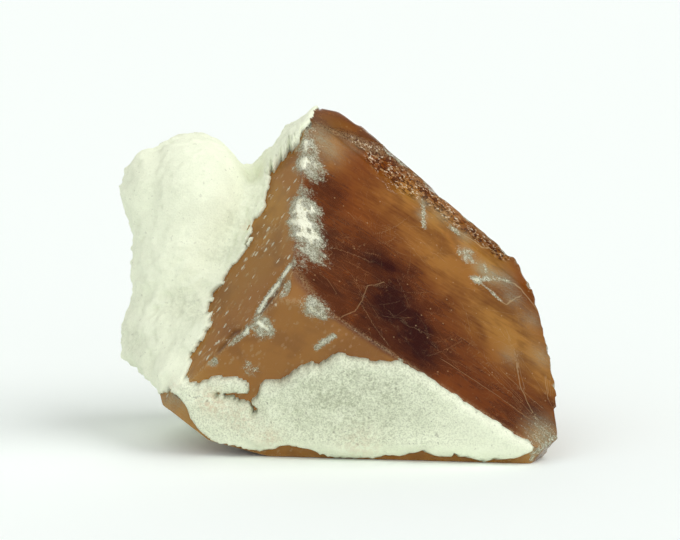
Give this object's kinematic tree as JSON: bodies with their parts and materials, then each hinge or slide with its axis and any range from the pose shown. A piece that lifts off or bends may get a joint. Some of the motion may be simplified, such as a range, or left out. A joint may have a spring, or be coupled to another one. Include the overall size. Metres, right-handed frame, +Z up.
{
  "type": "topaz crystal",
  "caption": "Brown see-through topaz crystal, blocky with slanted ends, half wrapped in cream rhyolite matrix, standing on a flat broken base.",
  "frame": {"origin": "centre of the specimen's box at the level of its flat base", "axes": "+X along the specimen's width towards the crystal's low right tip, +Y towards the back, +Z up"},
  "size_m": [0.0444, 0.0282, 0.0328],
  "materials": {
    "topaz": "brown, see-through, glassy with scuffed edges",
    "rhyolite": "dull, fine grained, cream to pale grey"
  },
  "bodies": {
    "root": {"topaz_crystal": "topaz", "rhyolite_matrix": "rhyolite"}
  },
  "joints": []
}
